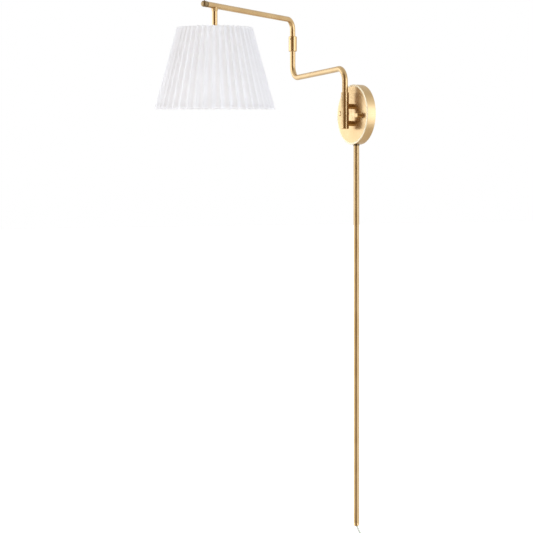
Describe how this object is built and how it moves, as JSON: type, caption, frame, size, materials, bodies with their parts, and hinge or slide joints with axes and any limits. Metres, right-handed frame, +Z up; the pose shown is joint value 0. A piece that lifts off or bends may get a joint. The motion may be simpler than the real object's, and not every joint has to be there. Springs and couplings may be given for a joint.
{
  "type": "swing arm wall sconce",
  "caption": "Wall light on a round canopy: a hinged two-part swing arm carries a pleated tapered shade and switch; a cord cover runs down to a tied mains cord with plug.",
  "frame": {"origin": "centre of the mounting bar's back face, on the wall", "axes": "+Z up, +Y into the wall, so the light stands out towards -Y and +X is to its right seen from the room"},
  "size_m": [0.3435, 0.413, 1.2854],
  "materials": {
    "satin_brass": "brushed satin, lacquered",
    "dark_brass": "darkened",
    "zinc_steel": "zinc plated",
    "nickel": "nickel plated",
    "nylon": "moulded",
    "phenolic": "moulded",
    "bulb_glass": "frosted",
    "frame_wire": "white enamel",
    "pleated_cloth": "off-white pleated cloth",
    "trim_tape": "woven tape",
    "clear_pvc": "clear flexible",
    "black_strap": "soft strap",
    "plug_plastic": "moulded"
  },
  "bodies": {
    "wall_bracket": {"canopy": "satin_brass", "mounting_bar": "zinc_steel", "canopy_studs": "zinc_steel", "cap_nuts": "satin_brass", "standoff_stems": "satin_brass", "standoff_rods": "zinc_steel", "standoff_nuts": "zinc_steel", "hinge_sleeve": "satin_brass", "sleeve_bush_top": "satin_brass", "sleeve_bush_bottom": "satin_brass", "cover_nipple": "zinc_steel", "cover_locknut": "zinc_steel", "cover_collar": "dark_brass", "cover_upper_tube": "satin_brass", "cover_lower_tube": "satin_brass", "cover_coupling": "zinc_steel", "cover_end_cap": "satin_brass", "cover_screw": "dark_brass", "ground_screw": "zinc_steel", "mains_cord": "clear_pvc", "cord_coil": "clear_pvc", "cord_tie": "black_strap", "plug_body": "plug_plastic", "plug_blades": "nickel"},
    "lower_arm": {"lower_arm_tube": "satin_brass", "hinge_collar": "satin_brass", "pivot_cap": "satin_brass"},
    "upper_arm": {"upper_arm_tube": "satin_brass", "elbow_collar": "satin_brass", "elbow_bush": "nylon", "elbow_thrust_washer": "nylon", "elbow_grub_screw": "dark_brass", "shade_stem": "satin_brass", "stem_nut": "satin_brass", "socket_nipple": "zinc_steel", "socket_cap": "satin_brass", "socket_shell": "satin_brass", "socket_insulator": "phenolic", "socket_contact": "dark_brass", "bulb_base": "nickel", "bulb_glass": "bulb_glass", "shade_spider": "frame_wire", "shade_bottom_ring": "frame_wire", "shade_ribs": "frame_wire", "shade_fabric": "pleated_cloth", "shade_top_trim": "trim_tape", "shade_bottom_trim": "trim_tape", "switch_sleeve": "satin_brass", "switch_ring": "dark_brass", "switch_barrel": "satin_brass", "switch_bushing": "nickel"},
    "toggle": {"switch_lever": "nickel"}
  },
  "joints": [
    {"name": "wall_swivel", "type": "hinge", "parent": "wall_bracket", "child": "lower_arm", "pos_m": [0, -0.037, 0], "axis": [0, 0, 1], "range_deg": [0, 187]},
    {"name": "elbow_swivel", "type": "hinge", "parent": "lower_arm", "child": "upper_arm", "pos_m": [-0.27045, -0.0197, 0.17], "axis": [0, 0, 1], "range_deg": [-180, 24]},
    {"name": "switch_toggle", "type": "hinge", "parent": "upper_arm", "child": "toggle", "pos_m": [-0.0818, -0.32396, 0.22913], "axis": [0.8499, 0.527, 0], "range_deg": [-24, 0]}
  ]
}
